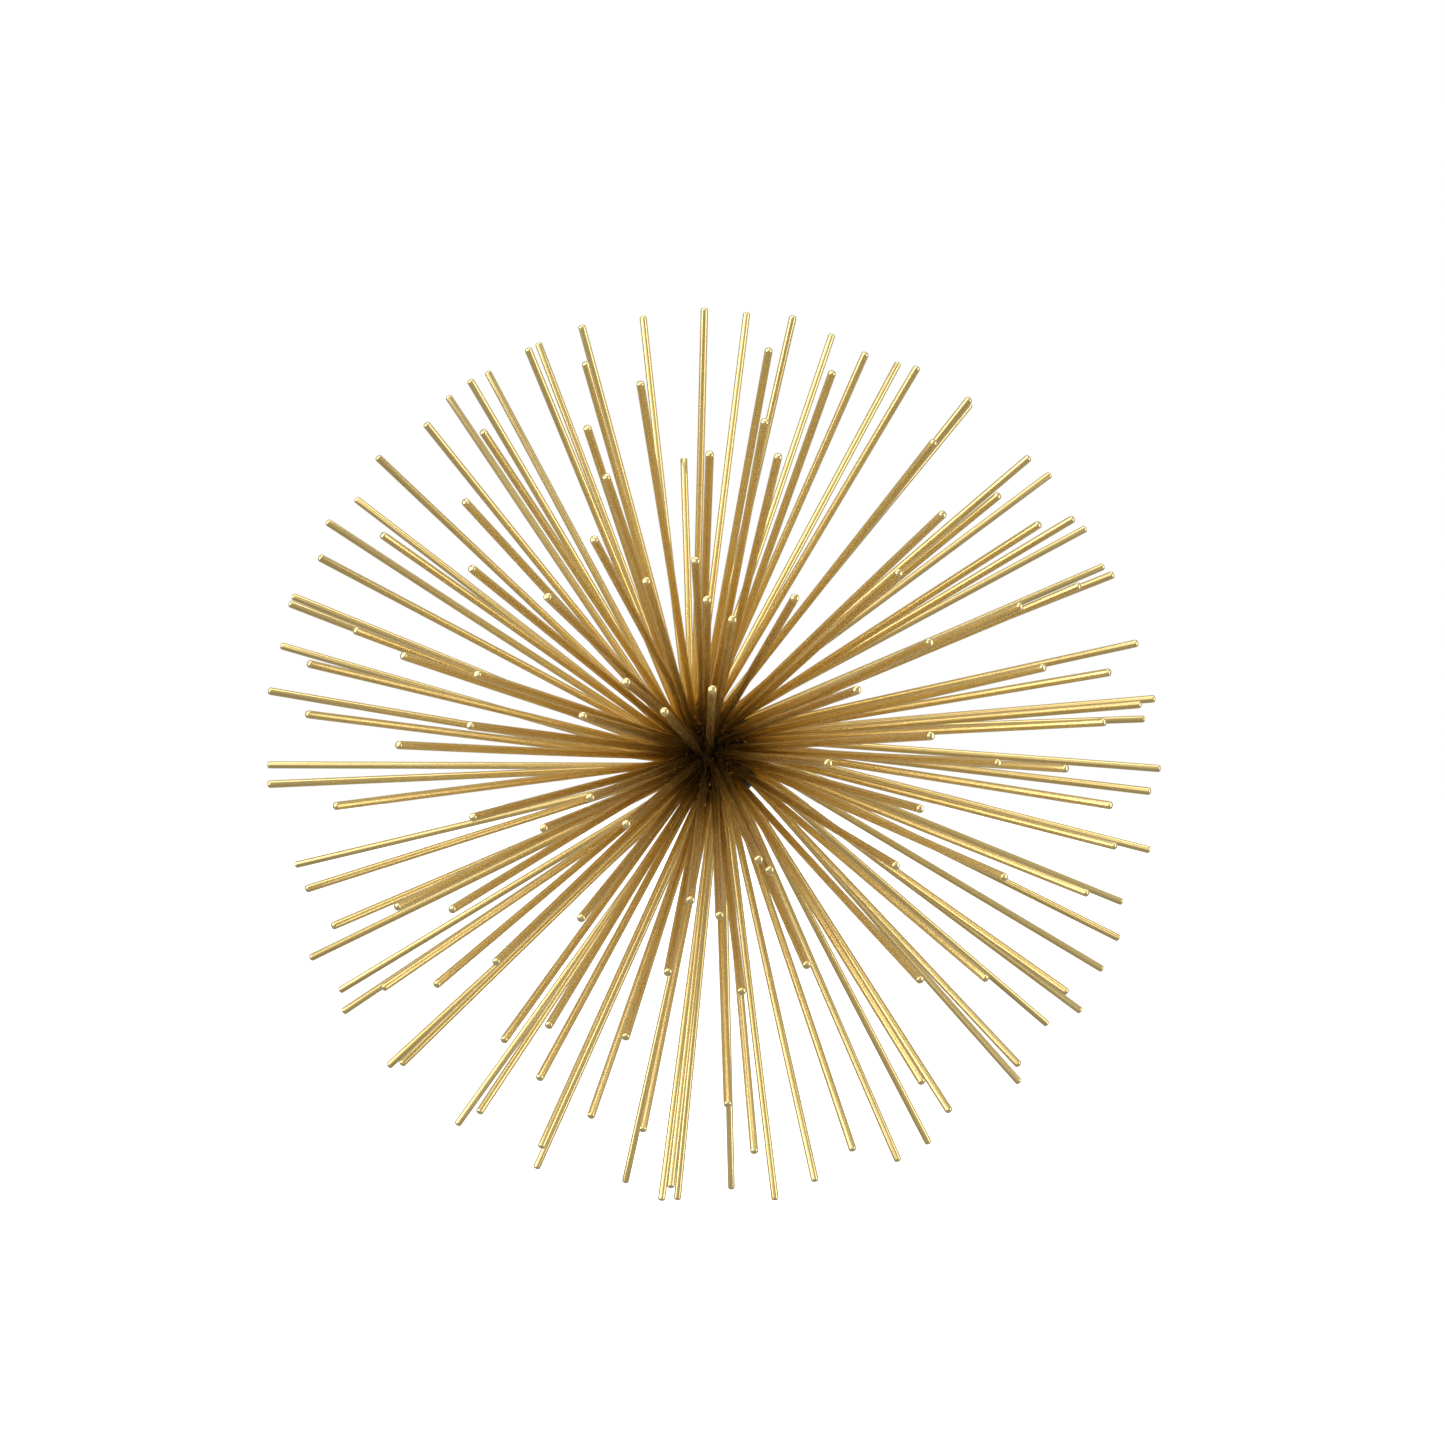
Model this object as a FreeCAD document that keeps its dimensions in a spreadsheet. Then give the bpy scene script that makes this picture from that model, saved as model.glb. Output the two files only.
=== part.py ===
import FreeCAD, Part
import Sketcher
import math
import os

# Sunburst wall sculpture: a dome of straight brass spikes standing in a small ball, hung on one wall screw.
# Frame: millimetres, +Z up. The wall is the plane Y = 0 and the sculpture stands out from it towards -Y.
# The origin is where the axis of the ball meets the wall, also the middle of the keyhole's round part.

doc = FreeCAD.newDocument("SunburstWallSculpture")

# ---------------------------------------------------------------- driving dimensions

DIMENSIONS = (
    ("SpikeLength", "112", "one spike, from its flat foot to the top of its domed tip"),
    ("SpikeDiameter", "2", "rod stock"),
    ("ShortSpikeLength", "73", "the one spike that is cut short and square"),
    ("SocketDepth", "2", "how deep a spike stands in the ball"),
    ("SocketWeb", "0.25", "metal left between the feet of the two closest spikes"),
    ("ClosestFeet", "10.4", "degrees between the two closest sockets, seen from the middle of the ball"),
    ("Swirl", "18.5", "degrees by which the foot of a rim spike trails its tip, about the ball's axis"),
    ("FeetLeft", "1.7", "how far left of that the feet stand, as the ball came out of its drilling"),
    ("FeetUp", "0.2", "how far above that the feet stand"),
    ("BackTilt", "4", "degrees by which the rearmost spikes lean back towards the wall"),
    ("WallGap", "4", "air between the rearmost tips and the wall"),
    ("CollarDepth", "6", "spacer collar, along the axis"),
    ("CollarWall", "1.4", "metal left between the pocket, the screw heads and the rim"),
    ("PlateThickness", "2", "wall plate"),
    ("HeadHoleRadius", "4", "keyhole, the round part that passes the head of the wall screw"),
    ("SlotWidth", "4.2", "keyhole, the narrow part that the wall screw hangs in"),
    ("KeyholeTravel", "6", "from the middle of the round part up to the middle of the slot's end"),
    ("PocketClearance", "0.8", "room round the keyhole for the screw head, inside the collar"),
    ("ScrewDiameter", "2.5", "plate screws, over the thread"),
    ("ScrewHeadDiameter", "4.6", "plate screws, over the countersunk head"),
    ("ScrewHeadDepth", "1.2", "plate screws, height of the cone"),
    ("ScrewBite", "4", "plate screws, length that stands in the ball"),
    ("ScrewClearance", "0.1", "round the shank, in the plate and the collar"),
    ("DriveWidth", "1.3", "plate screws, across the flats of the hexagon drive"),
    ("DriveDepth", "0.8", "plate screws, depth of the drive"),
)
DERIVED = (
    ("FootRadius", "=(SpikeDiameter + SocketWeb) / (ClosestFeet * pi / 180)"),
    ("BallRadius", "=FootRadius + SocketDepth"),
    ("DomeRadius", "=FootRadius + SpikeLength"),
    ("Standoff", "=DomeRadius * sin(BackTilt) + SpikeDiameter / 2 + WallGap"),
    ("BallBack", "=PlateThickness + CollarDepth"),
    ("ScrewLength", "=BallBack + ScrewBite"),
    ("SlotRadius", "=SlotWidth / 2"),
    ("PocketRadius", "=HeadHoleRadius + PocketClearance"),
    ("ScrewReach", "=PocketRadius + CollarWall + ScrewHeadDiameter / 2"),
    ("CollarRadius", "=max(ScrewReach + ScrewHeadDiameter / 2; KeyholeTravel + PocketRadius) + CollarWall"),
)

sheet = doc.addObject("Spreadsheet::Sheet", "Sizes")


def fill_sheet():
    """Writes one row per dimension: its word, its number and what it measures."""
    row = 1
    for word, number, meaning in DIMENSIONS:
        sheet.set(f"A{row}", word)
        sheet.set(f"B{row}", number)
        sheet.set(f"C{row}", meaning)
        sheet.setAlias(f"B{row}", word)
        row += 1
    for word, formula in DERIVED:
        sheet.set(f"A{row}", word)
        sheet.set(f"B{row}", formula)
        sheet.setAlias(f"B{row}", word)
        row += 1
    doc.recompute()


fill_sheet()

# ---------------------------------------------------------------- drilling schedule

# Where the tip of each spike stands on the dome: (bearing, tilt) in degrees, from the middle of the ball.
# The bearing runs clockwise from straight up, for someone facing the wall. The tilt opens from the ball's
# axis: 0 points at the viewer and 90 lies along the wall. One list for each sector of thirty degrees,
# starting at twelve o'clock.
SCHEDULE = (
    ((0, 6.5), (4.5, 86), (8, 54.5), (8.5, 14), (9, 39.5), (10.5, 71), (12.5, 34.5), (16, 90), (17.5, 52),
     (21, 62), (25.5, 92), (28, 66), (28, 18.5)),
    ((35.5, 48.5), (36, 66), (36.5, 91), (44, 39), (46, 28.5), (47, 63.5), (48, 49), (50.5, 88), (55, 52),
     (57, 62), (59, 90)),
    ((63, 26.5), (64.5, 92), (64.5, 40.5), (65.5, 53), (66, 66), (66.5, 16.5), (75.5, 66), (75.5, 40.5),
     (78.5, 53.5), (83, 71), (83.5, 61.5), (85.5, 92), (85.5, 50.5), (85.5, 23.5)),
    ((92, 79), (92, 32), (92.5, 42.5), (95, 65.5), (95, 12), (97.5, 52.5), (102.5, 73), (103, 55.5),
     (105, 23), (110, 91), (110.5, 52), (113, 36.5), (114.5, 71), (119, 84)),
    ((121.5, 23), (124, 60), (125, 77), (129, 94), (129.5, 42.5), (135.5, 64), (137, 77), (137.5, 35),
     (146.5, 60.5), (147.5, 49.5)),
    ((151, 85), (154, 13.5), (155.5, 71), (156, 25), (156.5, 12), (160.5, 57.5), (166.5, 65), (172, 77),
     (173, 26), (174, 52), (177.5, 92), (177.5, 42), (177.5, 17)),
    ((184.5, 84), (185.5, 63), (186.5, 73), (188.5, 15.5), (190.5, 48), (191.5, 91), (191.5, 24),
     (197, 33.5), (198.5, 48), (203, 77), (203.5, 60.5), (208, 45)),
    ((211, 36.5), (213, 60), (214.5, 77), (216, 42.5), (218.5, 22.5), (225, 65), (226, 34), (226, 77),
     (230, 43.5), (230.5, 11.5), (234.5, 53), (235, 77), (237.5, 88.5), (239, 34.5)),
    ((243, 77), (244, 42), (245.5, 56.5), (246, 19.5), (250, 13.5), (251.5, 60), (255, 94), (255, 27),
     (262, 47.5), (266, 69), (268.5, 86)),
    ((271.5, 36), (275.5, 54), (276.5, 26.5), (278, 72), (282.5, 55.5), (284, 85), (286, 14), (287.5, 37.5),
     (288.5, 27), (289, 47), (289.5, 73), (290.5, 82), (296.5, 65)),
    ((301, 77), (303.5, 51), (305.5, 90), (307.5, 34.5), (309.5, 11.5), (311, 6.5), (311.5, 72),
     (313.5, 24.5), (315.5, 42.5), (319, 64.5), (323.5, 84), (324.5, 51), (327, 71), (329.5, 86)),
    ((331, 26.5), (335.5, 70), (337, 84), (339, 33.5), (339, 19.5), (339, 42), (342, 55), (343, 72),
     (349, 47), (351, 86), (355, 20.5), (358, 16), (359, 71), (359.5, 34)),
)
SHORT_SPIKE = (354.5, 93)

# A sector's spikes fall into three rings, by how far they tilt.
RINGS = (("inner", 0, 40), ("outer", 40, 62), ("rim", 62, 180))


# ---------------------------------------------------------------- where the feet stand

def toward(bearing, tilt):
    """The unit vector of a bearing and a tilt."""
    turn = math.radians(bearing)
    lean = math.radians(tilt)
    return FreeCAD.Vector(math.sin(lean) * math.sin(turn), -math.cos(lean), math.sin(lean) * math.cos(turn))


def foot_under(bearing, tilt):
    """Where a foot would stand if no other were near it: under its tip, but for the swirl and the drift."""
    trail = sheet.Swirl * math.sin(math.radians(tilt))
    drift = FreeCAD.Vector(-sheet.FeetLeft, 0, sheet.FeetUp)
    return (toward(bearing - trail, tilt) * sheet.FootRadius + drift).normalize()


def spread_feet(spots, closest):
    """The unit vector to each foot, with feet that would stand too close pushed apart on the ball."""
    feet = [foot_under(*spot) for spot in spots]
    rounds = 400
    overshoot = 1.02
    for _ in range(rounds):
        moved = False
        for first in range(len(feet)):
            for second in range(first):
                apart = feet[first] - feet[second]
                short = 2 * math.sin(closest / 2) * overshoot - apart.Length
                if short > 0:
                    push = apart.normalize() * (short / 2)
                    feet[first] = (feet[first] + push).normalize()
                    feet[second] = (feet[second] - push).normalize()
                    moved = True
        if not moved:
            break
    return dict(zip(spots, feet))


every_spot = [spot for sector in SCHEDULE for spot in sector] + [SHORT_SPIKE]
feet = spread_feet(every_spot, math.radians(sheet.ClosestFeet))


def way_of(spot):
    """The unit vector along a spike, from its foot on the ball to its tip's place."""
    length = sheet.ShortSpikeLength if spot == SHORT_SPIKE else sheet.SpikeLength
    return (toward(*spot) * (sheet.FootRadius + length) - feet[spot] * sheet.FootRadius).normalize()


# ---------------------------------------------------------------- spikes

def bind(thing, formulas):
    """Ties each named property of an object to a formula on the sheet."""
    for name, formula in formulas.items():
        thing.setExpression(name, formula)


def aim(thing, spot, along):
    """Turns an object's own Z along a spike, and sets it on the spike's foot, moved along the spike."""
    foot = feet[spot]
    way = way_of(spot)
    thing.Placement = FreeCAD.Placement(FreeCAD.Vector(), FreeCAD.Rotation(FreeCAD.Vector(0, 0, 1), way))
    bind(thing, {
        "Placement.Base.x": f"Sizes.FootRadius * {foot.x:.9f} + ({along}) * {way.x:.9f}",
        "Placement.Base.y": f"Sizes.FootRadius * {foot.y:.9f} + ({along}) * {way.y:.9f} - Sizes.Standoff",
        "Placement.Base.z": f"Sizes.FootRadius * {foot.z:.9f} + ({along}) * {way.z:.9f}",
    })


def rod(name, spot, length):
    """A straight round rod that starts on its foot."""
    body = doc.addObject("Part::Cylinder", name)
    bind(body, {"Radius": "Sizes.SpikeDiameter / 2", "Height": length})
    aim(body, spot, "0")
    return body


def spike(name, spot):
    """A rod whose outer end is rounded to a half ball."""
    shank = "Sizes.SpikeLength - Sizes.SpikeDiameter / 2"
    tip = doc.addObject("Part::Sphere", f"{name}_tip")
    bind(tip, {"Radius": "Sizes.SpikeDiameter / 2"})
    aim(tip, spot, shank)
    whole = doc.addObject("Part::Fuse", name)
    whole.Base = rod(f"{name}_shank", spot, shank)
    whole.Tool = tip
    whole.Refine = True
    return whole


def spike_groups():
    """One group for each ring of each sector, and every spike in one list."""
    groups = []
    spikes = []
    for number, sector in enumerate(SCHEDULE, 1):
        for ring, least, most in RINGS:
            members = []
            for spot in sector:
                if least <= spot[1] < most:
                    members.append(spike(f"spike_{len(spikes) + len(members) + 1}", spot))
            group = doc.addObject("Part::Compound", f"group_{number}_{ring}")
            group.Label = f"sector_{number:02d}_{ring}_spikes"
            group.Links = members
            groups.append(group)
            spikes += members
    return groups, spikes


def short_spike():
    """The one spike that was cut short: its outer end is flat."""
    body = rod("cut_spike", SHORT_SPIKE, "Sizes.ShortSpikeLength")
    body.Label = "short_spike"
    return body


# ---------------------------------------------------------------- plate and collar

# Both are drawn on the wall plane, where a sketch's X and Y are the frame's +X and +Z, and a pad grows to -Y.

def wall_sketch(body, name, depth="0"):
    """A new sketch on a plane parallel to the wall, at a depth in front of it."""
    sketch = body.newObject("Sketcher::SketchObject", name)
    plane = next(item for item in body.Origin.OriginFeatures if item.Role == "XZ_Plane")
    sketch.AttachmentSupport = (plane, [""])
    sketch.MapMode = "FlatFace"
    bind(sketch, {"AttachmentOffset.Base.z": depth})
    return sketch


def tie(sketch, constraint, formula):
    """Adds a constraint whose value is a formula on the sheet."""
    index = sketch.addConstraint(constraint)
    sketch.setExpression(f"Constraints[{index}]", formula)


def draw_circle(sketch, radius):
    """A circle round the sketch's origin, its radius named on the sheet."""
    size = getattr(sheet, radius)
    circle = sketch.addGeometry(Part.Circle(FreeCAD.Vector(), FreeCAD.Vector(0, 0, 1), size))
    sketch.addConstraint(Sketcher.Constraint("Coincident", circle, 3, -1, 1))
    tie(sketch, Sketcher.Constraint("Radius", circle, size), f"Sizes.{radius}")


def draw_slot(sketch, radius):
    """An upright slot with round ends, from the origin up over the keyhole's travel."""
    out = FreeCAD.Vector(getattr(sheet, radius), 0, 0)
    top = FreeCAD.Vector(0, sheet.KeyholeTravel, 0)
    facing = FreeCAD.Vector(0, 0, 1)
    under = Part.Circle(FreeCAD.Vector(), facing, out.x)
    lower = sketch.addGeometry(Part.ArcOfCircle(under, math.pi, 2 * math.pi))
    upper = sketch.addGeometry(Part.ArcOfCircle(Part.Circle(top, facing, out.x), 0, math.pi))
    right = sketch.addGeometry(Part.LineSegment(out, out + top))
    left = sketch.addGeometry(Part.LineSegment(top - out, -out))
    for one, other in ((lower, right), (right, upper), (upper, left), (left, lower)):
        sketch.addConstraint(Sketcher.Constraint("Tangent", one, 2, other, 1))
    sketch.addConstraint(Sketcher.Constraint("Equal", lower, upper))
    sketch.addConstraint(Sketcher.Constraint("Coincident", lower, 3, -1, 1))
    sketch.addConstraint(Sketcher.Constraint("PointOnObject", upper, 3, -2))
    tie(sketch, Sketcher.Constraint("DistanceY", -1, 1, upper, 3, top.y), "Sizes.KeyholeTravel")
    tie(sketch, Sketcher.Constraint("Radius", lower, out.x), f"Sizes.{radius}")


def pad(body, sketch, length):
    """Grows a sketch away from the wall."""
    feature = body.newObject("PartDesign::Pad", f"{sketch.Name}_pad")
    feature.Profile = sketch
    bind(feature, {"Length": length})


def pocket(body, sketch):
    """Cuts a sketch right through, away from the wall."""
    feature = body.newObject("PartDesign::Pocket", f"{sketch.Name}_pocket")
    feature.Profile = sketch
    feature.Type = "ThroughAll"
    feature.Reversed = True


def plate_blank():
    """The round wall plate with its keyhole, before the screw holes."""
    body = doc.addObject("PartDesign::Body", "plate_blank")
    outline = wall_sketch(body, "plate_outline")
    draw_circle(outline, "CollarRadius")
    pad(body, outline, "Sizes.PlateThickness")
    head = wall_sketch(body, "keyhole_head")
    draw_circle(head, "HeadHoleRadius")
    pocket(body, head)
    neck = wall_sketch(body, "keyhole_neck")
    draw_slot(neck, "SlotRadius")
    pocket(body, neck)
    return body


def collar_blank():
    """The spacer collar with the pocket for the wall screw's head, before the screw holes."""
    body = doc.addObject("PartDesign::Body", "collar_blank")
    outline = wall_sketch(body, "collar_outline", "Sizes.PlateThickness")
    draw_circle(outline, "CollarRadius")
    pad(body, outline, "Sizes.CollarDepth")
    room = wall_sketch(body, "head_room", "Sizes.PlateThickness")
    draw_slot(room, "PocketRadius")
    pocket(body, room)
    return body


# ---------------------------------------------------------------- screws

def into_wall_side(kind, name, side, formulas):
    """A Part solid that starts on the wall plane, on one screw's axis, and runs towards -Y."""
    solid = doc.addObject(kind, name)
    forward = FreeCAD.Rotation(FreeCAD.Vector(1, 0, 0), 90)
    solid.Placement = FreeCAD.Placement(FreeCAD.Vector(), forward)
    bind(solid, {"Placement.Base.x": f"{side} * Sizes.ScrewReach", **formulas})
    return solid


def head_cone(name, side):
    """The cone of a countersunk head, flush with the wall side of the plate."""
    return into_wall_side("Part::Cone", name, side, {
        "Radius1": "Sizes.ScrewHeadDiameter / 2",
        "Radius2": "Sizes.ScrewDiameter / 2",
        "Height": "Sizes.ScrewHeadDepth",
    })


def fuse(name, pieces):
    """One solid out of several that overlap."""
    whole = doc.addObject("Part::MultiFuse", name)
    whole.Shapes = pieces
    whole.Refine = True
    return whole


def cut(name, base, tool):
    """A solid with another taken out of it."""
    rest = doc.addObject("Part::Cut", name)
    rest.Base = base
    rest.Tool = tool
    return rest


def screw(name, side):
    """A countersunk screw with a hexagon drive."""
    shank = into_wall_side("Part::Cylinder", f"{name}_shank", side, {
        "Radius": "Sizes.ScrewDiameter / 2",
        "Height": "Sizes.ScrewLength",
    })
    drive = into_wall_side("Part::Prism", f"{name}_drive", side, {
        "Circumradius": "Sizes.DriveWidth / sqrt(3)",
        "Height": "Sizes.DriveDepth",
    })
    drive.Polygon = 6
    blank = fuse(f"{name}_blank", [head_cone(f"{name}_head", side), shank])
    return cut(name, blank, drive)


def screw_room(name, side):
    """What a screw needs to pass through the plate and the collar."""
    bore = into_wall_side("Part::Cylinder", f"{name}_bore", side, {
        "Radius": "Sizes.ScrewDiameter / 2 + Sizes.ScrewClearance",
        "Height": "Sizes.BallBack",
    })
    return fuse(name, [head_cone(f"{name}_sink", side), bore])


def pair(label, make, name):
    """The same thing on the left and on the right, as two solids of one object."""
    both = doc.addObject("Part::Compound", f"{name}_pair")
    both.Label = label
    both.Links = [make(f"{name}_left", -1), make(f"{name}_right", 1)]
    return both


# ---------------------------------------------------------------- ball

def ball(standing_in_it):
    """The ball, flat at the back, with a blind hole for each thing that stands in it."""
    forward = FreeCAD.Placement(FreeCAD.Vector(), FreeCAD.Rotation(FreeCAD.Vector(1, 0, 0), 90))
    whole = doc.addObject("Part::Sphere", "whole_ball")
    whole.Placement = forward
    bind(whole, {"Radius": "Sizes.BallRadius", "Placement.Base.y": "-Sizes.Standoff"})
    front = doc.addObject("Part::Cylinder", "ball_front")
    front.Placement = forward
    bind(front, {
        "Radius": "2 * Sizes.BallRadius",
        "Height": "Sizes.Standoff + Sizes.BallRadius",
        "Placement.Base.y": "-Sizes.BallBack",
    })
    trimmed = doc.addObject("Part::Common", "trimmed_ball")
    trimmed.Base = whole
    trimmed.Tool = front
    everything = doc.addObject("Part::Compound", "standing_in_ball")
    everything.Links = standing_in_it
    hub = cut("drilled_ball", trimmed, everything)
    hub.Label = "hub_ball"
    return hub


# ---------------------------------------------------------------- the sculpture

groups, spikes = spike_groups()
cut_spike = short_spike()
screws = pair("plate_screws", screw, "screw")
rooms = pair("screw_rooms", screw_room, "room")
collar = cut("collar", collar_blank(), rooms)
collar.Label = "spacer_collar"
plate = cut("plate", plate_blank(), rooms)
plate.Label = "wall_plate"
hub = ball(spikes + [cut_spike, screws])
sub_parts = [hub, collar, plate, screws, cut_spike] + groups

doc.recompute()

for thing in doc.Objects:
    if "Invalid" in thing.State or "Error" in thing.State:
        raise RuntimeError(f"{thing.Name} ({thing.Label}) is {thing.State}")
for sub_part in sub_parts:
    if sub_part.Shape.isNull() or not sub_part.Shape.isValid():
        raise RuntimeError(f"{sub_part.Label} has no sound shape")

os.makedirs("parts", exist_ok=True)
for sub_part in sub_parts:
    sub_part.Shape.exportStep(f"parts/{sub_part.Label}.step")
    print(sub_part.Label, len(sub_part.Shape.Solids), round(sub_part.Shape.Volume, 1))
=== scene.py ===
import math
import random

import bmesh
import bpy
import numpy as np
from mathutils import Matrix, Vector


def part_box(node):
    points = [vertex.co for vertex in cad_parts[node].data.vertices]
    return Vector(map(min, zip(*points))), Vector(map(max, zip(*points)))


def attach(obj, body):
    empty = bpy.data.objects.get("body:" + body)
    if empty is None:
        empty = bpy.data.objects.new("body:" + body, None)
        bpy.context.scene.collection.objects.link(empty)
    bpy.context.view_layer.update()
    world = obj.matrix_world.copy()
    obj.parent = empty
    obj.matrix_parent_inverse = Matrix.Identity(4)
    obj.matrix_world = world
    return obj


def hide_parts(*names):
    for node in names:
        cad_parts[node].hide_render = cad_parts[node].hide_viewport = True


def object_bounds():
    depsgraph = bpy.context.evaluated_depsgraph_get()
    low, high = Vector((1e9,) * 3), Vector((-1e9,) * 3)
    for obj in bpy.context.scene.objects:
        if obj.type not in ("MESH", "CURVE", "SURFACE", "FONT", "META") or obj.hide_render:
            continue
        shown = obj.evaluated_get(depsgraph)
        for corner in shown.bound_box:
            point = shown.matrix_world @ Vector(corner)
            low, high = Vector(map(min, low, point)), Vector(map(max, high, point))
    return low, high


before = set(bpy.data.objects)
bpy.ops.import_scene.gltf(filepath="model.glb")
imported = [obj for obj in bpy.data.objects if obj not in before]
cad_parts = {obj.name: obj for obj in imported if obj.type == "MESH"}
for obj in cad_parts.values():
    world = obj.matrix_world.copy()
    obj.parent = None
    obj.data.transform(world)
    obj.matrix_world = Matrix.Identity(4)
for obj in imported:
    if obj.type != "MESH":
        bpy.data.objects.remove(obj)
cad_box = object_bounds()

MM = 0.001
rng = random.Random(7)

# ---------------------------------------------------------------- the frame's own sizes

SPIKE_NODES = sorted(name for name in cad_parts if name.endswith("_spikes"))
SHORT_NODE = "short_spike"

ball_low, ball_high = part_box("hub_ball")
BALL_RADIUS = (ball_high.x - ball_low.x) / 2
BALL_CENTRE = Vector((0, ball_low.y + BALL_RADIUS, 0))


# Points nearer than this are one point. Points this near a rod's end, along the rod, belong to the end.
SAME_POINT = 0.0001 * MM
END_SLACK = 0.01 * MM


class Axis:
    """The middle line of one rod, from the centre of its flat foot to the end of its tip."""

    def __init__(self, points):
        cloud = np.array(points)
        middle = cloud.mean(0)
        way = np.linalg.svd(cloud - middle, full_matrices=False)[2][0]
        if np.dot(middle - np.array(BALL_CENTRE), way) < 0:
            way = -way
        along = (cloud - middle) @ way
        self.foot = Vector(cloud[along < along.min() + END_SLACK].mean(0))
        self.tip = Vector(cloud[along > along.max() - END_SLACK].mean(0))
        self.length = (self.tip - self.foot).length
        self.way = (self.tip - self.foot).normalized()
        self.side = self.way.orthogonal().normalized()
        self.other = self.way.cross(self.side)
        offsets = cloud - np.array(self.foot)
        self.radius = np.linalg.norm(offsets - np.outer(offsets @ self.way, self.way), axis=1).max()

    def out(self, turn):
        """The unit vector square to the rod at an angle round it."""
        return self.side * math.cos(turn) + self.other * math.sin(turn)


def rod_axes(node):
    """The axis of every rod in a CAD node, in the order of their feet round the ball."""
    mesh = bmesh.new()
    mesh.from_mesh(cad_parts[node].data)
    bmesh.ops.remove_doubles(mesh, verts=mesh.verts, dist=SAME_POINT)
    left = set(mesh.verts)
    axes = []
    while left:
        island = {left.pop()}
        edge = list(island)
        while edge:
            vert = edge.pop()
            for link in vert.link_edges:
                near = link.other_vert(vert)
                if near not in island:
                    island.add(near)
                    edge.append(near)
        left -= island
        axes.append(Axis([tuple(vert.co) for vert in island]))
    mesh.free()
    return sorted(axes, key=lambda axis: (round(axis.foot.y, 6), round(axis.foot.x, 6)))


# ---------------------------------------------------------------- node materials

class Nodes:
    """Short ways to build one material's node tree."""

    def __init__(self, name):
        self.material = bpy.data.materials.new(name)
        self.material.use_nodes = True
        self.tree = self.material.node_tree
        self.shader = self.tree.nodes["Principled BSDF"]

    def add(self, kind, links=None, **settings):
        """A node of a kind, with its settings, and inputs by name or number set or linked."""
        node = self.tree.nodes.new(kind)
        for name, value in settings.items():
            setattr(node, name, value)
        for key, value in (links or {}).items():
            self.join(value, node.inputs[key])
        return node

    def join(self, value, socket):
        """Links an output to a socket, or sets the socket to a plain value."""
        if isinstance(value, bpy.types.NodeSocket):
            self.tree.links.new(value, socket)
        else:
            socket.default_value = value

    def shade(self, **inputs):
        """Sets the shader's inputs, with underscores for the spaces in their names."""
        for name, value in inputs.items():
            self.join(value, self.shader.inputs[name.replace("_", " ")])

    def noise(self, where, scale, detail=3.0, roughness=0.5):
        """A soft pattern from 0 to 1."""
        node = self.add("ShaderNodeTexNoise", {"Vector": where, "Scale": scale})
        node.inputs["Detail"].default_value = detail
        node.inputs["Roughness"].default_value = roughness
        return node.outputs["Fac"]

    def stretch(self, where, scale):
        """Coordinates scaled by a different amount each way."""
        return self.add("ShaderNodeMapping", {"Vector": where, "Scale": scale}).outputs["Vector"]

    def ramp(self, value, low, high, to_low=0.0, to_high=1.0):
        """A value moved from one range to another, held at the ends."""
        node = self.add("ShaderNodeMapRange", {"Value": value, "From Min": low, "From Max": high})
        node.inputs["To Min"].default_value = to_low
        node.inputs["To Max"].default_value = to_high
        return node.outputs["Result"]

    def mix(self, share, first, second):
        """Two colours mixed."""
        node = self.add("ShaderNodeMix", data_type="RGBA")
        self.join(share, node.inputs["Factor"])
        self.join(first, node.inputs["A"])
        self.join(second, node.inputs["B"])
        return node.outputs["Result"]

    def sum(self, first, second, operation="ADD"):
        """Two values put together."""
        return self.add("ShaderNodeMath", {0: first, 1: second}, operation=operation).outputs[0]

    def bump(self, height, distance, strength=1.0):
        """A normal from a height in metres of relief."""
        node = self.add("ShaderNodeBump", {"Height": height, "Distance": distance, "Strength": strength})
        return node.outputs["Normal"]


GOLD = (0.76, 0.575, 0.225, 1)
PALE_GOLD = (0.82, 0.65, 0.29, 1)
WARM_GOLD = (0.68, 0.48, 0.16, 1)
BROWN_GOLD = (0.30, 0.19, 0.06, 1)
# The two darkest colours are painted shade: they darken the rods' feet, the ball and the braze deep in the
# core.
SHADE_DARK_BROWN = (0.045, 0.03, 0.014, 1)
SHADE_BLACK = (0.010, 0.008, 0.006, 1)


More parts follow.
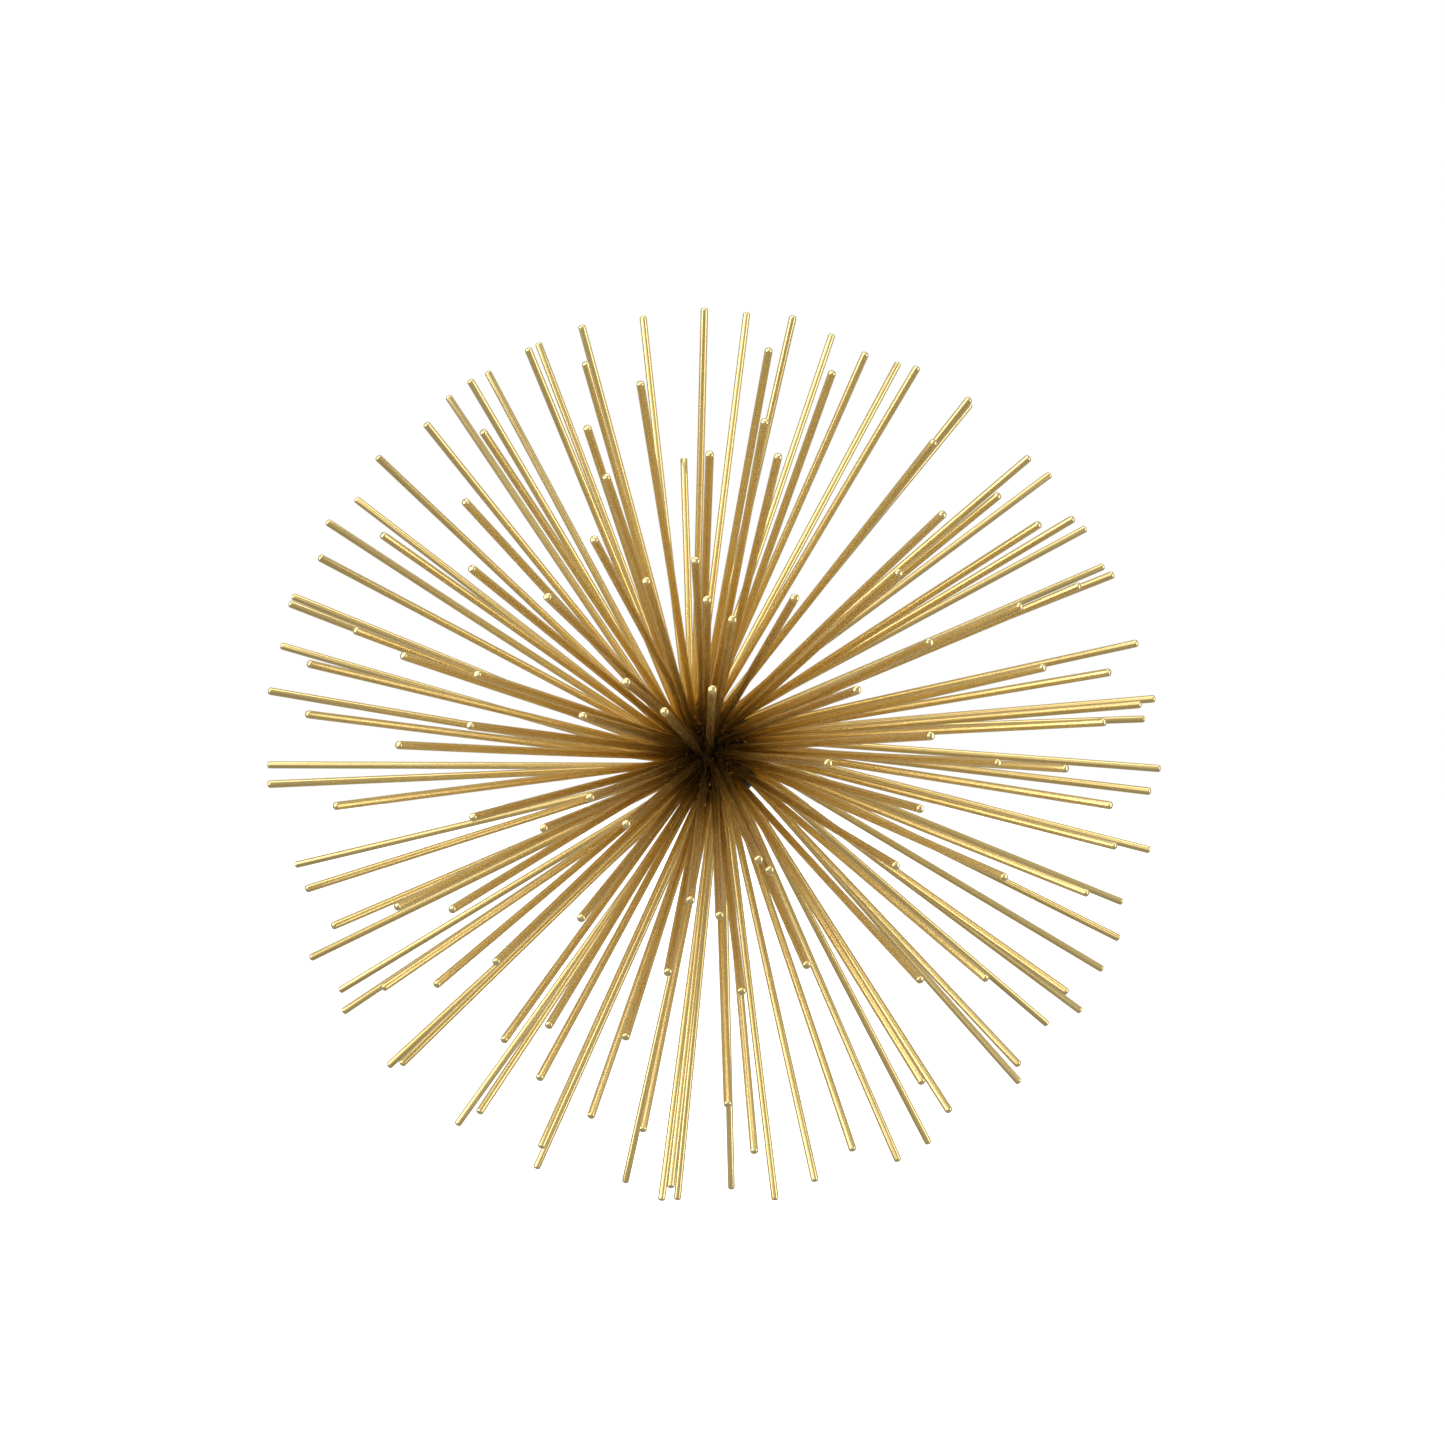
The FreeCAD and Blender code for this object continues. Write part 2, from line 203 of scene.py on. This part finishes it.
def satin_rod():
    """Drawn brass rod: fine lines along it, slow changes of tone, a polished end painted paler as a painted
    highlight, and a foot painted dark as painted shade where the rods crowd into the core.
    """
    nodes = Nodes("satin_brass_rod")
    where = nodes.add("ShaderNodeUVMap", uv_map="rod").outputs["UV"]
    polish_and_glint = nodes.add("ShaderNodeAttribute", attribute_name="polish_and_glint").outputs["Fac"]
    heat = nodes.add("ShaderNodeAttribute", attribute_name="heat").outputs["Fac"]
    tone = nodes.add("ShaderNodeAttribute", attribute_name="tone").outputs["Fac"]
    lines = nodes.noise(nodes.stretch(where, (1600, 30, 1)), 1.0, 1.0)
    cloud = nodes.noise(nodes.stretch(where, (300, 40, 1)), 1.0, 2.0)
    gold = nodes.mix(nodes.ramp(cloud, 0.35, 0.65), GOLD, PALE_GOLD)
    gold = nodes.mix(nodes.ramp(tone, 0, 1, 0, 0.45), gold, WARM_GOLD)
    gold = nodes.mix(nodes.ramp(lines, 0.55, 0.8, 0, 0.15), gold, WARM_GOLD)
    # Painted highlight: the polished end is painted paler, for the light its dome catches.
    gold = nodes.mix(polish_and_glint, gold, PALE_GOLD)
    # Painted shade: the foot of each rod is painted dark, standing in for the shade where the rods crowd into
    # the ball.
    gold = nodes.mix(nodes.ramp(heat, 0.1, 0.6, 0, 0.9), gold, SHADE_DARK_BROWN)
    satin = nodes.sum(nodes.ramp(lines, 0.3, 0.7, 0.22, 0.28), nodes.ramp(cloud, 0.3, 0.7, -0.02, 0.03))
    rough = nodes.ramp(polish_and_glint, 0, 1, 1.0, 0.38)
    nodes.shade(
        Base_Color=gold,
        Metallic=1.0,
        Roughness=nodes.sum(satin, rough, "MULTIPLY"),
        Coat_Weight=0.5,
        Coat_Roughness=0.12,
    )
    return nodes.material


def painted_shade_ball():
    """The ball: satin brass painted near black as painted shade deep in the core, blotched with flux."""
    nodes = Nodes("painted_shade_ball_brass")
    where = nodes.add("ShaderNodeTexCoord").outputs["Object"]
    blotch = nodes.noise(where, 260, 5.0, 0.6)
    grain = nodes.noise(where, 2600, 2.0)
    # Painted shade: the ball is coloured near black for the shade it sits in among the crowded rods.
    colour = nodes.mix(nodes.ramp(blotch, 0.38, 0.62), SHADE_BLACK, SHADE_DARK_BROWN)
    nodes.shade(
        Base_Color=colour,
        Metallic=1.0,
        Roughness=nodes.ramp(blotch, 0.35, 0.65, 0.62, 0.38),
        Normal=nodes.bump(grain, 0.02 * MM, 0.6),
    )
    return nodes.material


def braze():
    """Braze metal that has run round the foot of each rod."""
    nodes = Nodes("braze_metal")
    where = nodes.add("ShaderNodeTexCoord").outputs["Object"]
    ripple = nodes.noise(where, 1400, 3.0)
    blotch = nodes.noise(where, 420, 3.0)
    nodes.shade(
        # Painted shade: the braze is coloured dark for the shade of the core; the blotches between its two
        # dark tones are its own.
        Base_Color=nodes.mix(nodes.ramp(blotch, 0.4, 0.6), SHADE_DARK_BROWN, BROWN_GOLD),
        Metallic=1.0,
        Roughness=nodes.ramp(ripple, 0.3, 0.7, 0.22, 0.4),
        Normal=nodes.bump(ripple, 0.03 * MM, 0.7),
    )
    return nodes.material


def turned_metal(name, light, dark, lathe_lines):
    """Metal with fine rings left by the lathe round the Y axis."""
    nodes = Nodes(name)
    where = nodes.add("ShaderNodeTexCoord").outputs["Object"]
    parts = nodes.add("ShaderNodeSeparateXYZ", {"Vector": where})
    flat = nodes.add("ShaderNodeCombineXYZ", {"X": parts.outputs["X"], "Y": parts.outputs["Z"]})
    reach = nodes.add("ShaderNodeVectorMath", {0: flat.outputs["Vector"]}, operation="LENGTH")
    rings = nodes.add("ShaderNodeCombineXYZ", {"X": reach.outputs["Value"], "Y": parts.outputs["Y"]})
    lines = nodes.noise(nodes.stretch(rings.outputs["Vector"], (lathe_lines, lathe_lines, 1)), 1.0, 3.0)
    cloud = nodes.noise(where, 180, 4.0)
    nodes.shade(
        Base_Color=nodes.mix(nodes.ramp(cloud, 0.35, 0.65), dark, light),
        Metallic=1.0,
        Roughness=nodes.ramp(lines, 0.3, 0.7, 0.26, 0.42),
        Normal=nodes.bump(lines, 0.02 * MM, 0.5),
    )
    return nodes.material


# ---------------------------------------------------------------- spikes

SIDES = 28

# A domed tip: its height in radii of the rod, its rings, and how square its shoulder is (2 is a half ball).
TIP_HEIGHT = 0.75
TIP_STEPS = 9
TIP_POWER = 2.3

# A flat end: the height of its bevel and the width it leaves, in radii of the rod, and how polished it is;
# its polish also paints it paler, as a painted highlight.
BEVEL_HEIGHT = 0.12
BEVEL_WIDTH = 0.86
FLAT_POLISH_AND_GLINT = 0.6

# The rings of points along a rod stand this far apart. The painted shade at the rod's foot fades out over
# this length.
RING_GAP = 6 * MM
FOOT_SHADE_REACH = 8 * MM

# How far the middle of the most bowed rod is off its straight line, and the least bow as a share of that.
MOST_BOW = 0.22 * MM
LEAST_BOW = 0.1


def spike_profile(axis, domed):
    """(distance from the foot, radius, polish with its painted highlight) of each ring, from the foot to the
    tip.
    """
    end = axis.length - (TIP_HEIGHT if domed else BEVEL_HEIGHT) * axis.radius
    count = max(2, round(end / RING_GAP))
    rings = [(end * step / count, axis.radius, 0.0) for step in range(count + 1)]
    rings.insert(1, (axis.radius, axis.radius, 0.0))
    if domed:
        for step in range(1, TIP_STEPS):
            turn = math.pi / 2 * step / TIP_STEPS
            up = math.sin(turn) ** (2 / TIP_POWER)
            across = math.cos(turn) ** (2 / TIP_POWER)
            rings.append((end + up * TIP_HEIGHT * axis.radius, axis.radius * across, 1.0))
    else:
        rings.append((axis.length, BEVEL_WIDTH * axis.radius, FLAT_POLISH_AND_GLINT))
    return rings


def spike_geometry(axis, domed):
    """Points, faces and the numbers each point carries, for one rod with a slight bow of its own."""
    bow = axis.out(rng.uniform(0, 2 * math.pi)) * rng.uniform(LEAST_BOW, 1.0) * MOST_BOW
    tone = rng.random()
    points = []
    facts = []
    rings = spike_profile(axis, domed)
    for along, radius, polish_and_glint in rings:
        share = along / axis.length
        middle = axis.foot + axis.way * along + bow * math.sin(math.pi * share)
        # Painted shade at the rod's foot: 1 where it meets the ball, fading to 0 further out.
        heat = max(0.0, 1 - along / FOOT_SHADE_REACH)
        for side in range(SIDES):
            points.append(middle + axis.out(2 * math.pi * side / SIDES) * radius)
            facts.append((polish_and_glint, heat, tone, along, side))
    faces = []
    for ring in range(len(rings) - 1):
        for side in range(SIDES):
            here = ring * SIDES + side
            beside = ring * SIDES + (side + 1) % SIDES
            faces.append((here, beside, beside + SIDES, here + SIDES))
    faces.append(tuple(reversed(range(SIDES))))
    last = (len(rings) - 1) * SIDES
    if domed:
        points.append(axis.tip)
        facts.append((1.0, 0.0, tone, axis.length, 0))
        faces += [(last + side, last + (side + 1) % SIDES, last + SIDES) for side in range(SIDES)]
    else:
        faces.append(tuple(last + side for side in range(SIDES)))
    return points, faces, facts


def write_attribute(mesh, name, values):
    """A number for each point, which the materials read."""
    attribute = mesh.attributes.new(name, "FLOAT", "POINT")
    attribute.data.foreach_set("value", np.array(values, np.float32))


def unwrap_rods(mesh, along, side_of, radius):
    """A UV map in metres: round the rod, and along it."""
    layer = mesh.uv_layers.new(name="rod")
    for polygon in mesh.polygons:
        sides = [side_of[mesh.loops[loop].vertex_index] for loop in polygon.loop_indices]
        wraps = max(sides) - min(sides) > SIDES / 2
        for loop, side in zip(polygon.loop_indices, sides):
            turn = side + (SIDES if wraps and side < SIDES / 2 else 0)
            point = mesh.loops[loop].vertex_index
            layer.data[loop].uv = (2 * math.pi * radius * turn / SIDES, along[point])


def build_spikes(name, node, domed=True):
    """All the rods of one CAD node as one piece, which stands for that node."""
    points = []
    faces = []
    facts = []
    axes = rod_axes(node)
    for axis in axes:
        more_points, more_faces, more_facts = spike_geometry(axis, domed)
        faces += [tuple(len(points) + corner for corner in face) for face in more_faces]
        points += more_points
        facts += more_facts
    mesh = bpy.data.meshes.new(name)
    mesh.from_pydata([tuple(point) for point in points], [], faces)
    # The numbers each point carries: its polish, which also paints a highlight; the painted shade at the
    # rod's foot; and its tone.
    for column, fact in enumerate(("polish_and_glint", "heat", "tone")):
        write_attribute(mesh, fact, [row[column] for row in facts])
    unwrap_rods(mesh, [row[3] for row in facts], [row[4] for row in facts], axes[0].radius)
    mesh.shade_smooth()
    piece = bpy.data.objects.new(name, mesh)
    bpy.context.scene.collection.objects.link(piece)
    piece.data.materials.append(rod_material)
    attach(piece, "root")
    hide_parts(node)
    return axes


# ---------------------------------------------------------------- braze fillets

FILLET_SIDES = 20
FILLET_HEIGHT = 0.55 * MM
FILLET_WIDTH = 0.32 * MM

# The braze is hollow between its foot and its top: how far up and out its waist stands, as shares of them.
WAIST_UP = 0.38
WAIST_OUT = 0.30

# How far the braze reaches into the rod and the ball, and how thick it is where it ends on the rod.
SINK = 0.08 * MM
LIP = 0.02 * MM

# How much the braze differs from rod to rod, from side to side of one rod, and from point to point.
FILLET_SIZES = (0.75, 1.2)
HEAVY_SIDE = 0.3
RIPPLE = 0.06


def onto_ball(point):
    """The nearest point of the ball's surface."""
    return BALL_CENTRE + (point - BALL_CENTRE).normalized() * BALL_RADIUS


def leaves_ball(axis, turn):
    """Where the rod's skin comes out of the ball, at an angle round the rod."""
    start = axis.foot + axis.out(turn) * axis.radius - BALL_CENTRE
    half = start.dot(axis.way)
    reach = -half + math.sqrt(half * half - start.length_squared + BALL_RADIUS ** 2)
    return BALL_CENTRE + start + axis.way * reach


def fillet_geometry(axis):
    """A closed ring of braze in the corner between one rod and the ball, higher on one side."""
    heavy = rng.uniform(0, 2 * math.pi)
    size = rng.uniform(*FILLET_SIZES)
    points = []
    for side in range(FILLET_SIDES):
        turn = 2 * math.pi * side / FILLET_SIDES
        swell = size * (1 + HEAVY_SIDE * math.cos(turn - heavy) + rng.uniform(-RIPPLE, RIPPLE))
        out = axis.out(turn)
        corner = leaves_ball(axis, turn)
        up = axis.way * FILLET_HEIGHT * swell
        across = out * FILLET_WIDTH * swell
        top = corner + up
        waist = corner + up * WAIST_UP + across * WAIST_OUT
        toe = onto_ball(corner + across)
        ring = [top - out * SINK, top + out * LIP, waist, toe, toe - axis.way * SINK, corner - out * SINK]
        points += ring
    faces = []
    row = len(ring)
    for side in range(FILLET_SIDES):
        here = side * row
        beside = (side + 1) % FILLET_SIDES * row
        for step in range(row):
            after = (step + 1) % row
            faces.append((here + step, beside + step, beside + after, here + after))
    return points, faces


def build_fillets(axes):
    """The braze round every rod's foot, as one piece."""
    points = []
    faces = []
    for axis in axes:
        more_points, more_faces = fillet_geometry(axis)
        faces += [tuple(len(points) + corner for corner in face) for face in more_faces]
        points += more_points
    mesh = bpy.data.meshes.new("braze_fillets")
    mesh.from_pydata([tuple(point) for point in points], [], faces)
    mesh.shade_smooth()
    tidy = bmesh.new()
    tidy.from_mesh(mesh)
    bmesh.ops.recalc_face_normals(tidy, faces=tidy.faces)
    tidy.to_mesh(mesh)
    tidy.free()
    piece = bpy.data.objects.new("braze_fillets", mesh)
    bpy.context.scene.collection.objects.link(piece)
    piece.data.materials.append(braze())
    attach(piece, "root")


# ---------------------------------------------------------------- carried-over CAD nodes

def repaint(node, material):
    """Gives a CAD node its finished material."""
    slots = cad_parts[node].data.materials
    slots.clear()
    slots.append(material)


# ---------------------------------------------------------------- studio

CAMERA_DISTANCE = 560 * MM
LENS = 49.5

# How far the middle of the picture stands from the ball's middle, in widths of the picture.
FRAME_RIGHT = 0.0070
FRAME_UP = 0.0212

FLOOR_DROP = 200 * MM
FLOOR_WIDTH = 24.0

# How bright the room is, from straight behind the camera (0) round by the sides (0.5) to behind the wall (1).
ROOM_LIGHT = ((0.0, 0.58), (1.0, 0.50), (0.015, 0.55), (0.07, 0.48), (0.25, 0.45), (0.5, 0.5))


def build_camera():
    """Looks straight at the ball from in front, framed a little to its right and above it."""
    data = bpy.data.cameras.new("camera")
    data.lens = LENS
    data.sensor_width = 36
    data.shift_x = FRAME_RIGHT
    data.shift_y = FRAME_UP
    data.clip_start = 0.01
    camera = bpy.data.objects.new("camera", data)
    camera.location = BALL_CENTRE + Vector((0, -CAMERA_DISTANCE, 0))
    camera.rotation_euler = (math.pi / 2, 0, 0)
    bpy.context.scene.collection.objects.link(camera)
    bpy.context.scene.camera = camera


def soft_light(name, place, width, height, power):
    """A rectangular soft box that faces the sculpture."""
    data = bpy.data.lights.new(name, "AREA")
    data.shape = "RECTANGLE"
    data.size = width
    data.size_y = height
    data.energy = power
    light = bpy.data.objects.new(name, data)
    light.location = place
    light.rotation_euler = (BALL_CENTRE - Vector(place)).to_track_quat("-Z", "Y").to_euler()
    bpy.context.scene.collection.objects.link(light)


def build_world():
    """White where the camera sees it. As light it is an even, pale room, a little dimmer below."""
    world = bpy.data.worlds.new("studio")
    world.use_nodes = True
    bpy.context.scene.world = world
    tree = world.node_tree
    tree.nodes.clear()
    where = tree.nodes.new("ShaderNodeTexCoord")
    parts = tree.nodes.new("ShaderNodeSeparateXYZ")
    tree.links.new(where.outputs["Generated"], parts.inputs["Vector"])
    depth = tree.nodes.new("ShaderNodeMapRange")
    depth.inputs["From Min"].default_value = -1
    depth.inputs["From Max"].default_value = 1
    tree.links.new(parts.outputs["Y"], depth.inputs["Value"])
    walls = tree.nodes.new("ShaderNodeFloatCurve")
    curve = walls.mapping.curves[0]
    for place, (share, level) in enumerate(ROOM_LIGHT):
        if place < 2:
            curve.points[place].location = (share, level)
        else:
            curve.points.new(share, level)
    walls.mapping.update()
    tree.links.new(depth.outputs["Result"], walls.inputs["Value"])
    height = tree.nodes.new("ShaderNodeMapRange")
    height.inputs["From Min"].default_value = -1
    height.inputs["From Max"].default_value = 1
    height.inputs["To Min"].default_value = 0.75
    height.inputs["To Max"].default_value = 1.25
    tree.links.new(parts.outputs["Z"], height.inputs["Value"])
    strength = tree.nodes.new("ShaderNodeMath")
    strength.operation = "MULTIPLY"
    tree.links.new(walls.outputs["Value"], strength.inputs[0])
    tree.links.new(height.outputs["Result"], strength.inputs[1])
    room = tree.nodes.new("ShaderNodeBackground")
    tree.links.new(strength.outputs[0], room.inputs["Strength"])
    seen = tree.nodes.new("ShaderNodeBackground")
    seen.inputs["Strength"].default_value = 1.0
    for background in (room, seen):
        background.inputs["Color"].default_value = (1, 1, 1, 1)
    path = tree.nodes.new("ShaderNodeLightPath")
    mix = tree.nodes.new("ShaderNodeMixShader")
    tree.links.new(path.outputs["Is Camera Ray"], mix.inputs["Fac"])
    tree.links.new(room.outputs["Background"], mix.inputs[1])
    tree.links.new(seen.outputs["Background"], mix.inputs[2])
    out = tree.nodes.new("ShaderNodeOutputWorld")
    tree.links.new(mix.outputs["Shader"], out.inputs["Surface"])


def build_floor():
    """A plain pale floor, well under the sculpture. It glows white, and the brass doesn't mirror it."""
    low = cad_box[0][2] - FLOOR_DROP
    half = FLOOR_WIDTH / 2
    mesh = bpy.data.meshes.new("floor")
    corners = [(-half, -half, low), (half, -half, low), (half, half, low), (-half, half, low)]
    mesh.from_pydata(corners, [], [(0, 1, 2, 3)])
    floor = bpy.data.objects.new("floor", mesh)
    bpy.context.scene.collection.objects.link(floor)
    nodes = Nodes("pale_floor")
    where = nodes.add("ShaderNodeTexCoord").outputs["Object"]
    nodes.shade(
        Base_Color=nodes.mix(nodes.noise(where, 6), (0.93, 0.93, 0.93, 1), (0.96, 0.96, 0.96, 1)),
        Roughness=0.8,
        Emission_Color=(1, 1, 1, 1),
        Emission_Strength=1.0,
    )
    mesh.materials.append(nodes.material)
    floor.visible_glossy = False


# ---------------------------------------------------------------- the scene

build_camera()
build_world()
build_floor()
soft_light("left_box", (-0.75, -0.45, 0.25), 0.45, 0.9, 4.6)
soft_light("right_box", (0.8, -0.4, 0.05), 0.4, 0.9, 3.0)
soft_light("key_box", (-0.4, -0.85, 0.4), 0.8, 0.8, 2.2)
soft_light("top_box", (0.0, -0.3, 0.9), 0.9, 0.45, 2.8)
bpy.context.scene.view_settings.view_transform = "Standard"

rod_material = satin_rod()
every_axis = []
for spike_node in SPIKE_NODES:
    every_axis += build_spikes(spike_node.replace("_spikes", "_rods"), spike_node)
every_axis += build_spikes("short_rod", SHORT_NODE, domed=False)
build_fillets(every_axis)
repaint("hub_ball", painted_shade_ball())
repaint("spacer_collar", turned_metal("turned_brass", GOLD, WARM_GOLD, 4000))
repaint("wall_plate", turned_metal("turned_steel", (0.62, 0.62, 0.61, 1), (0.5, 0.5, 0.49, 1), 3000))
repaint("plate_screws", turned_metal("zinc", (0.72, 0.72, 0.7, 1), (0.6, 0.61, 0.62, 1), 900))
